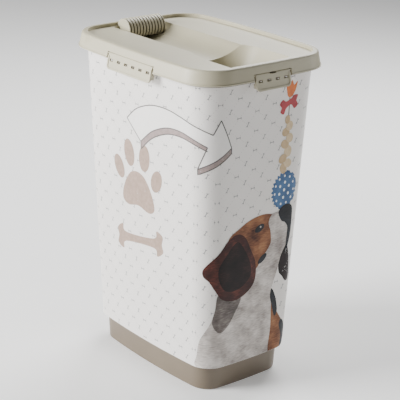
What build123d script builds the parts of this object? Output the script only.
"""Pet food bin: a tall tapered tub with a printed wrap, a clip-down lid and a ribbed lid grip.

Millimetres. The origin is the middle of the footprint, on the floor. +Z is up, +X is the long way,
towards the end of the lid that has the scoop dish. The four clips swing outwards on stub pins.
"""
import os
from math import atan2, cos, degrees, radians, sin
from build123d import *

os.makedirs("parts", exist_ok=True)

# Overall heights
lid_top = 600.0
base_height = 49.0
skirt_height = 26.0

# Plan sizes: length along X, width along Y, corner radius
foot_length, foot_width, foot_radius = 313.0, 196.0, 37.0
base_length, base_width, base_radius = 318.0, 201.0, 39.0
wrap_low_length, wrap_low_width, wrap_low_radius = 338.0, 214.0, 41.0
lid_length, lid_width, lid_radius = 398.0, 300.0, 64.0   # at the skirt's lower edge
crown = 8.0                  # how far a long side bows out at its middle; a short side bows half of it

# Walls
tub_wall = 2.2
floor_wall = 3.0
wrap_thick = 0.6
lid_wall = 2.5
edge_round = 5.0
foot_round = 3.0

# Tub rim
rim_below_top = 14.0         # tub rim below the lid's highest edge
flange_reach = 6.5           # rim flange outside the tub wall
flange_thick = 3.0
lip_thick = 2.5
lip_drop = 15.5              # flange lip, from the rim down
skirt_gap = 2.4              # inside of the skirt to the flange, at the rim
rim_corner = 3.6             # how much rounder the flange's corners are than the skirt's inside
wrap_under_skirt = 4.0       # how far the wrap runs up behind the skirt

# Lid
skirt_flare = 5.5            # skirt bottom outside the skirt top, each side
bead_width = 9.0             # raised border round the recessed panel
panel_drop = 6.0
plug_depth = 14.0            # plug ring inside the tub mouth
plug_clear = 1.2
seal_width = 5.0
seal_gap = 0.3               # over the rim
seal_play = 0.2              # beside the ring that holds it
seal_hold = 2.0              # the holding ring stops this far above the rim
edge_bead_high, edge_bead_proud = 1.8, 0.7   # small bead along the skirt's lower edge

# Channel and dish
channel_half = 54.0
channel_depth = 24.0
dish_end_gap = 5.0           # dish edge inside the plug ring's outside
dish_long = 152.0
dish_half = 66.0
dish_depth = 38.0
dish_draft = 20.0            # how far the dish wall leans in, top to floor
dish_corner = 14.0
dish_seat_radius = 42.0
dish_seat_depth = 1.0

# Grip and its pocket
pocket_end_gap = 4.85        # pocket end inside the tub wall, at the pocket's floor
pocket_corner = 6.0
grip_radius = 20.0
grip_proud = 10.0            # top of the roll above the lid's highest edge
grip_flat = 7.0              # part of the roll that the pocket floor cuts off
grip_long = 82.0
grip_side_gap = 1.5          # roll to the pocket, in front, behind and at each end
grip_border_gap = 0.5        # back of the roll to the lid's raised border
grip_wall = 2.6
grip_shoulder = 1.5
groove_pitch = 6.8
groove_width = 2.8
groove_deep = 2.4
spigot_radius = 3.0
spigot_length = 5.0
spigot_play = 0.1
spigot_apart = 72.0

# Clips
clip_thick = 2.5
clip_long = 27.0             # pin axis to lower edge
clip_top_drop = 15.5         # clip's upper edge below the lid's highest edge
short_clip_wide, short_clip_windows = 75.0, 4
long_clip_wide, long_clip_windows = 122.0, 6
clip_side_gap = 4.0
clip_top_gap = 0.9
clip_border, clip_border_wide = 1.0, 3.0
clip_corner = 7.0
clip_margin = 4.0            # border starts this far below the pin axis
window_wide, window_high = 9.0, 4.5
hook_under_lip = 2.3
hook_high = 3.0
clip_play = 0.3
end_wall, end_wall_deep = 2.0, 6.0
barrel_radius = 2.0
pin_radius = 1.2
pin_play = 0.06
pin_length = 3.5             # how far each pin goes into its cheek
cheek_wide = 5.0
cheek_inside, cheek_outside = 2.9, 0.5
cheek_half_high = 3.5
slot_wide, slot_high = 14.0, 2.5

# Cutting allowances
overlap = 1.0                # how far joined walls run into each other
notch_inside, notch_outside = 3.0, 7.0
cut_through = 12.0
beyond = 600.0

# Levels that follow
skirt_low = lid_top - skirt_height
panel_top = lid_top - panel_drop
panel_under = panel_top - lid_wall
rim_top = lid_top - rim_below_top
lip_low = rim_top - lip_drop
wrap_top = skirt_low + wrap_under_skirt
plug_low = rim_top - plug_depth
shoulder = base_height + tub_wall
channel_radius = (channel_half**2 + channel_depth**2) / (2 * channel_depth)
channel_centre = panel_top - channel_depth + channel_radius
grip_centre = lid_top + grip_proud - grip_radius
pocket_floor = grip_centre - grip_radius + grip_flat
pin_level = lid_top - clip_top_drop - barrel_radius
skirt_lean = atan2(skirt_flare, skirt_height)


def outline(z, size):
    """A rounded rectangle (length, width, radius) at a height, whose sides bow out."""
    length, width, radius = size
    x = length / 2 - crown / 2
    y = width / 2 - crown
    with BuildSketch(Plane.XY.offset(z), mode=Mode.PRIVATE) as shape:
        with BuildLine():
            ThreePointArc((x, -y), (length / 2, 0), (x, y))
            ThreePointArc((x, y), (0, width / 2), (-x, y))
            ThreePointArc((-x, y), (-length / 2, 0), (-x, -y))
            ThreePointArc((-x, -y), (0, -width / 2), (x, -y))
        make_face()
        fillet(shape.vertices(), radius)
    return shape.sketch


def grown(size, by):
    """The same outline moved outwards by a distance (inwards when negative)."""
    length, width, radius = size
    return length + 2 * by, width + 2 * by, radius + by


def skirt_size(z):
    """Outside of the lid's skirt at a height."""
    share = (z - skirt_low) / skirt_height
    return grown((lid_length, lid_width, lid_radius), -skirt_flare * share)


def wrap_size(z):
    """Outside of the wrap at a height."""
    share = (z - base_height) / (rim_top - base_height)
    length, width, radius = grown(skirt_size(rim_top), wrap_thick - flange_reach - skirt_gap - lid_wall)
    low = (wrap_low_length, wrap_low_width, wrap_low_radius)
    return tuple(a + (b - a) * share for a, b in zip(low, (length, width, radius + rim_corner)))


def tub_size(z):
    """Outside of the tub's upper wall at a height, under the wrap."""
    return grown(wrap_size(z), -wrap_thick)


def plug_size(z):
    """Outside of the lid's plug ring at a height: the inside of the tub, less a clearance."""
    return grown(tub_size(z), -tub_wall - plug_clear)


def prism(low, high, low_size, high_size, mode=Mode.ADD):
    """A tapered solid between the outlines at two heights."""
    return loft([outline(low, low_size), outline(high, high_size)], mode=mode)


def ring(low, high, size_at, wall):
    """Adds a wall of a thickness inside an outline, which is given as a function of height."""
    outside = prism(low, high, size_at(low), size_at(high), Mode.PRIVATE)
    inside = prism(low, high, grown(size_at(low), -wall), grown(size_at(high), -wall), Mode.PRIVATE)
    add(outside - inside)


foot = (foot_length, foot_width, foot_radius)
base_top = (base_length, base_width, base_radius)
rim = tub_size(rim_top)
flange = grown(rim, flange_reach)

# ---------------------------------------------------------------- tub
with BuildPart() as tub:
    prism(0, base_height, foot, base_top)
    fillet(tub.faces().sort_by(Axis.Z)[0].edges(), foot_round)
    prism(base_height, rim_top, tub_size(base_height), rim)
    prism(floor_wall, shoulder, grown(foot, -tub_wall), grown(base_top, -tub_wall), Mode.SUBTRACT)
    prism(shoulder, rim_top, grown(tub_size(shoulder), -tub_wall), grown(rim, -tub_wall), Mode.SUBTRACT)
    ring(rim_top - flange_thick, rim_top, lambda z: flange, flange_reach + tub_wall / 2)
    ring(lip_low, rim_top - flange_thick, lambda z: flange, lip_thick)
tub.part.label = "tub"

# ---------------------------------------------------------------- printed wrap
with BuildPart() as label_wrap:
    prism(base_height, wrap_top, wrap_size(base_height), wrap_size(wrap_top))
    prism(base_height, wrap_top, tub_size(base_height), tub_size(wrap_top), Mode.SUBTRACT)
label_wrap.part.label = "label_wrap"

# ---------------------------------------------------------------- places in the lid
plug_end = plug_size(plug_low)[0] / 2
dish_front = plug_end - dish_end_gap
dish_back = dish_front - dish_long
panel = grown(skirt_size(lid_top), -bead_width)
grip_x = grip_radius + grip_border_gap - panel[0] / 2
pocket_back = pocket_end_gap + tub_wall - tub_size(pocket_floor - lid_wall)[0] / 2
pocket_front = grip_x + grip_radius + grip_side_gap
groove_count = int(grip_long // groove_pitch)
spigots = [(grip_x, side * spigot_apart / 2) for side in (-1, 1)]
seal_outside = grown(rim, seal_width - tub_wall / 2)

# Each clip: which way its side faces, its width, its windows, and how far out the flange's lip is
clip_sides = {
    "clip_front": ((1, 0), short_clip_wide, short_clip_windows, flange[0] / 2),
    "clip_back": ((-1, 0), short_clip_wide, short_clip_windows, flange[0] / 2),
    "clip_near": ((0, -1), long_clip_wide, long_clip_windows, flange[1] / 2),
    "clip_far": ((0, 1), long_clip_wide, long_clip_windows, flange[1] / 2),
}


def dish_edge(z, inset):
    """The dish at a height: round towards the channel, square to the lid's end."""
    half = dish_half - inset
    back = dish_back + inset
    front = dish_front - inset / 2
    with BuildSketch(Plane.XY.offset(z), mode=Mode.PRIVATE) as shape:
        with BuildLine():
            Polyline((back + half, -half), (front, -half), (front, half), (back + half, half))
            ThreePointArc((back + half, half), (back, 0), (back + half, -half))
        make_face()
        fillet(shape.vertices().group_by(Axis.X)[-1], dish_corner)
    return shape.sketch


def dish(drop, wall, mode):
    """The dish as a tapered solid down to its floor, made larger all round by a wall."""
    high = dish_edge(panel_top - drop, -wall)
    low = dish_edge(panel_top - dish_depth - wall, dish_draft - wall)
    loft([low, high], mode=mode)


def channel(radius, start, top, mode):
    """A length of the half-pipe channel, from its start into the dish."""
    with BuildSketch(Plane.YZ.offset(start), mode=Mode.PRIVATE) as section:
        with Locations((0, channel_centre)):
            Circle(radius)
        with Locations((0, top)):
            Rectangle(beyond, beyond, align=(Align.CENTER, Align.MIN), mode=Mode.SUBTRACT)
    extrude(section.sketch, amount=dish_back + dish_half - start, mode=mode)


def pocket(wall, top, mode):
    """The straight-sided pocket that holds the grip."""
    with BuildSketch(Plane.XY.offset(pocket_floor - wall), mode=Mode.PRIVATE) as shape:
        with Locations(((pocket_back + pocket_front) / 2, 0)):
            long = pocket_front - pocket_back + 2 * wall
            RectangleRounded(long, grip_long + 2 * (grip_side_gap + wall), pocket_corner)
    extrude(shape.sketch, amount=top - pocket_floor + wall, mode=mode)


def bow_in(across, length, bow):
    """How far a bowed side has drawn in at a distance from its middle."""
    return bow * (2 * across / length) ** 2


def clip_planes(direction, wide):
    """Planes through a clip's pin axis, upright and leaning with the skirt, and the axis's distance.

    In both planes x runs across the clip and z points outwards.
    """
    half = wide / 2 + clip_side_gap + pin_length
    length, width, _ = skirt_size(pin_level)
    if direction[0]:
        reach = length / 2 - bow_in(half, width, crown / 2)
    else:
        reach = width / 2 - bow_in(half, length, crown)
    out = reach - barrel_radius / cos(skirt_lean)
    place = (direction[0] * out, direction[1] * out, pin_level)
    across = (-direction[1], direction[0], 0)
    normal = (direction[0] * cos(skirt_lean), direction[1] * cos(skirt_lean), sin(skirt_lean))
    upright = Plane(origin=place, x_dir=across, z_dir=(direction[0], direction[1], 0))
    return upright, Plane(origin=place, x_dir=across, z_dir=normal), out


def box_at(plane, middle, size, mode=Mode.ADD):
    """A box in a clip's plane, by its middle: across, up, outwards."""
    with Locations(plane * Location(middle)):
        Box(*size, mode=mode)


def bar_at(plane, radius, length, mode=Mode.ADD):
    """A round bar along the pin axis, centred on the clip."""
    with Locations(plane * Location((0, 0, 0), (0, 90, 0))):
        Cylinder(radius, length, mode=mode)


def notch(direction, wide):
    """Cuts the skirt for a clip and leaves the two cheeks that hold its pins."""
    upright, _, _ = clip_planes(direction, wide)
    half = wide / 2 + clip_side_gap
    high = barrel_radius + clip_top_gap
    low = skirt_low - pin_level - clip_corner
    out = (notch_outside - notch_inside) / 2
    deep = notch_outside + notch_inside
    box_at(upright, (0, (high + low) / 2, out), (2 * half, high - low, deep), Mode.SUBTRACT)
    cheek_out = (cheek_outside - cheek_inside) / 2
    cheek_size = (cheek_wide, 2 * cheek_half_high, cheek_inside + cheek_outside)
    for side in (-1, 1):
        box_at(upright, (side * (half + cheek_wide / 2), 0, cheek_out), cheek_size)
    bar_at(upright, pin_radius + pin_play, 2 * (half + pin_length), Mode.SUBTRACT)


# ---------------------------------------------------------------- lid
with BuildPart() as lid:
    prism(skirt_low, lid_top, skirt_size(skirt_low), skirt_size(lid_top))
    fillet(lid.faces().sort_by(Axis.Z)[-1].edges(), edge_round)
    edge_bead = grown(skirt_size(skirt_low), edge_bead_proud)
    ring(skirt_low, skirt_low + edge_bead_high, lambda z: edge_bead, edge_bead_proud + lid_wall / 2)
    prism(skirt_low, panel_under, grown(skirt_size(skirt_low), -lid_wall),
          grown(skirt_size(panel_under), -lid_wall), Mode.SUBTRACT)
    prism(panel_top, lid_top, panel, panel, Mode.SUBTRACT)
    ring(plug_low, panel_under + overlap / 2, plug_size, lid_wall)
    seal_holder = grown(seal_outside, seal_play + lid_wall)
    ring(rim_top + seal_hold, panel_under + overlap / 2, lambda z: seal_holder, lid_wall)
    channel(channel_radius + lid_wall, pocket_back - lid_wall, panel_top - overlap, Mode.ADD)
    pocket(lid_wall, panel_top - overlap, Mode.ADD)
    dish(overlap, lid_wall, Mode.ADD)
    channel(channel_radius, pocket_back, lid_top, Mode.SUBTRACT)
    pocket(0, lid_top, Mode.SUBTRACT)
    dish(0, 0, Mode.SUBTRACT)
    with BuildSketch(Plane.XY.offset(panel_top - dish_depth)):
        with Locations(((dish_back + dish_front) / 2, 0)):
            Circle(dish_seat_radius)
    extrude(amount=-dish_seat_depth, mode=Mode.SUBTRACT)
    with Locations([(x, y, pocket_floor) for x, y in spigots]):
        Cylinder(spigot_radius + spigot_play, 4 * lid_wall, mode=Mode.SUBTRACT)
    for direction, wide, _, _ in clip_sides.values():
        notch(direction, wide)
lid.part.label = "lid"

# ---------------------------------------------------------------- lid seal
with BuildPart() as lid_seal:
    ring(rim_top + seal_gap, panel_under, lambda z: seal_outside, seal_width)
lid_seal.part.label = "lid_seal"


# ---------------------------------------------------------------- lid grip
def roll(start, length, radius, mode):
    """A length of the roll along Y, cut flat on the pocket floor and on the panel behind the pocket."""
    with BuildSketch(Plane.XZ.offset(start), mode=Mode.PRIVATE) as section:
        with Locations((grip_x, grip_centre)):
            Circle(radius)
        with Locations((grip_x, pocket_floor)):
            Rectangle(beyond, beyond, align=(Align.CENTER, Align.MAX), mode=Mode.SUBTRACT)
        with Locations((pocket_back + grip_side_gap, panel_top)):
            Rectangle(beyond, beyond, align=(Align.MAX, Align.MAX), mode=Mode.SUBTRACT)
    extrude(section.sketch, amount=length, mode=mode)


with BuildPart() as lid_grip:
    roll(-grip_long / 2, grip_long, grip_radius, Mode.ADD)
    fillet(lid_grip.edges().filter_by(GeomType.CIRCLE), grip_shoulder)
    hood_radius = grip_radius - groove_deep - grip_wall
    roll(grip_wall - grip_long / 2, grip_long - 2 * grip_wall, hood_radius, Mode.SUBTRACT)
    for index in range(groove_count):
        middle = (index - (groove_count - 1) / 2) * groove_pitch
        with BuildSketch(Plane.XZ.offset(middle - groove_width / 2)):
            with Locations((grip_x, grip_centre)):
                Circle(grip_radius + overlap)
                Circle(grip_radius - groove_deep, mode=Mode.SUBTRACT)
        extrude(amount=groove_width, mode=Mode.SUBTRACT)
    spigot_low = pocket_floor - spigot_length
    spigot_high = grip_centre + hood_radius + grip_wall / 2
    with Locations([(x, y, spigot_low) for x, y in spigots]):
        Cylinder(spigot_radius, spigot_high - spigot_low, align=(Align.CENTER, Align.CENTER, Align.MIN))
lid_grip.part.label = "lid_grip"


# ---------------------------------------------------------------- clips
def clip_face(wide, top, inset):
    """A clip's outline from a level down, with round lower corners, made smaller by an inset."""
    with BuildSketch(mode=Mode.PRIVATE) as face:
        with Locations((0, top)):
            Rectangle(wide - 2 * inset, top + clip_long - inset, align=(Align.CENTER, Align.MAX))
        fillet(face.vertices().group_by(Axis.Y)[0], clip_corner - inset)
    return face.sketch


def clip_plate(plane, wide):
    """Plate with its raised border, in the leaning plane."""
    back = barrel_radius - clip_thick
    extrude(plane * Pos(0, 0, back) * clip_face(wide, 0, 0), amount=clip_thick, dir=plane.z_dir)
    border = clip_face(wide, -clip_margin, 0) - clip_face(wide, -clip_margin, clip_border_wide)
    extrude(plane * Pos(0, 0, barrel_radius) * border, amount=clip_border, dir=plane.z_dir)


def clip(name, direction, wide, windows, lip_out):
    """A clip: plate, border, barrel, pins, end walls, and a window above each hook."""
    upright, leaning, out = clip_planes(direction, wide)
    hook_top = lip_low - clip_play - pin_level
    tip = lip_out - hook_under_lip - out
    hook_deep = -hook_top * sin(skirt_lean) - tip + overlap
    wall_high = clip_long - clip_corner + hook_top
    pitch = wide / windows
    with BuildPart() as made:
        clip_plate(leaning, wide)
        bar_at(upright, barrel_radius, wide)
        bar_at(upright, pin_radius, wide + 2 * (clip_side_gap + pin_length))
        if wide == short_clip_wide:
            slot = (slot_wide, slot_high, cut_through)
            box_at(upright, (0, barrel_radius - slot_high / 2, 0), slot, Mode.SUBTRACT)
        for side in (-1, 1):
            middle = (side * (wide - end_wall) / 2, hook_top - overlap - wall_high / 2, -end_wall_deep / 2)
            box_at(leaning, middle, (end_wall, wall_high, end_wall_deep))
        for index in range(windows):
            across = (index - (windows - 1) / 2) * pitch
            hook_middle = (across, hook_top - hook_high / 2, tip + hook_deep / 2)
            box_at(upright, hook_middle, (window_wide, hook_high, hook_deep))
            window_middle = (across, hook_top + window_high / 2, hook_under_lip)
            box_at(upright, window_middle, (window_wide, window_high, cut_through), Mode.SUBTRACT)
    made.part.label = name
    return made


clips = [clip(name, *side) for name, side in clip_sides.items()]

for piece in (tub, label_wrap, lid, lid_seal, lid_grip, *clips):
    export_step(piece.part, f"parts/{piece.part.label}.step")
